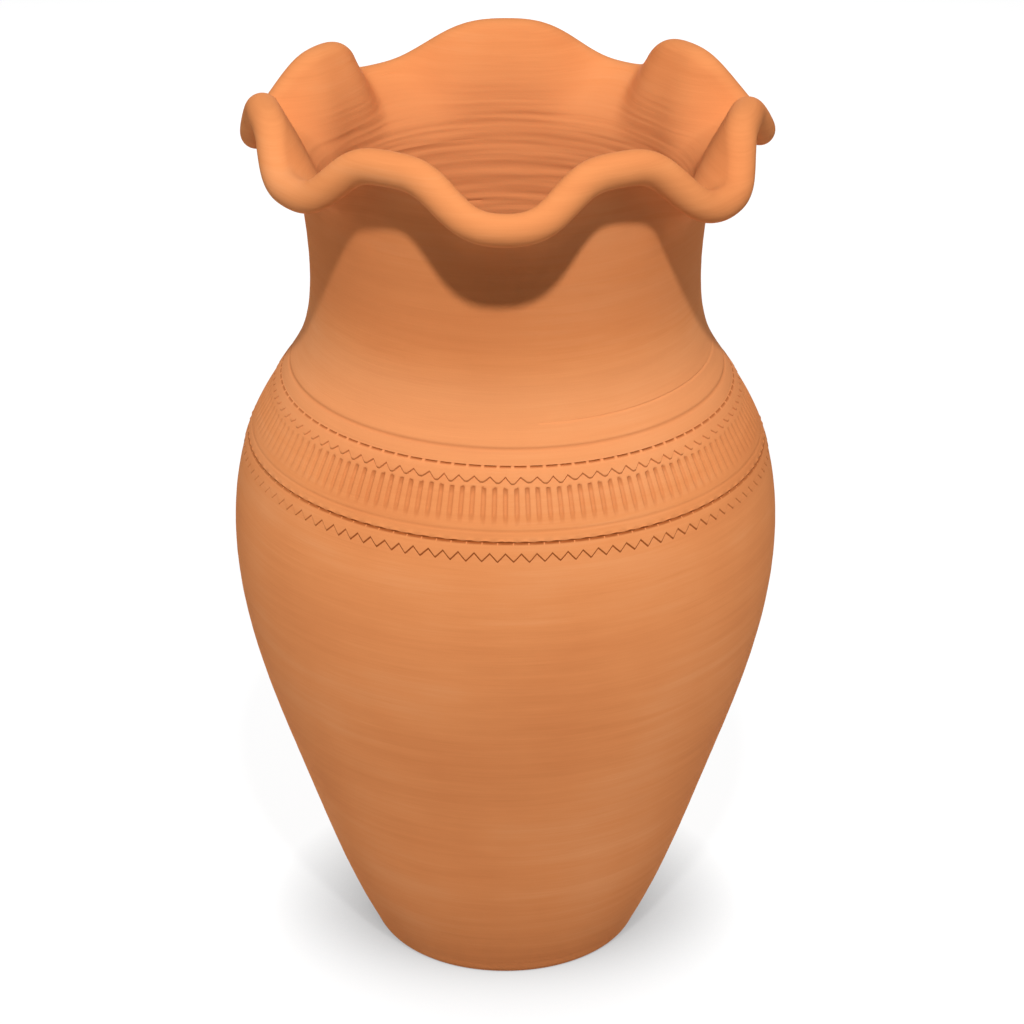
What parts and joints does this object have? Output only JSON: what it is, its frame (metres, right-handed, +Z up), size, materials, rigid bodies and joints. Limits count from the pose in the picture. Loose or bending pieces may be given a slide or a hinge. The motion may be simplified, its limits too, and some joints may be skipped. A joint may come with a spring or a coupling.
{
  "type": "terracotta water jar",
  "caption": "Tall round-bellied terracotta jar with a narrow neck, a wide ruffled mouth and a pinked, fluted band round the shoulder.",
  "frame": {"origin": "middle of the underside, on the ground that the jar stands on", "axes": "+Z up along the jar's axis; the front lobe of the ruffle hangs towards -Y"},
  "size_m": [0.3028, 0.3028, 0.514],
  "materials": {
    "terracotta": "unglazed, wiped smooth",
    "band": "unglazed, pressed with a roller"
  },
  "bodies": {
    "root": {"floor_disc": "terracotta", "foot_course": "terracotta", "belly_course": "terracotta", "shoulder_course": "terracotta", "neck_course": "terracotta", "mouth_course": "terracotta", "lip_coil": "terracotta", "upper_tooth_strip": "band", "fluted_strip": "band", "lower_tooth_strip": "band"}
  },
  "joints": []
}
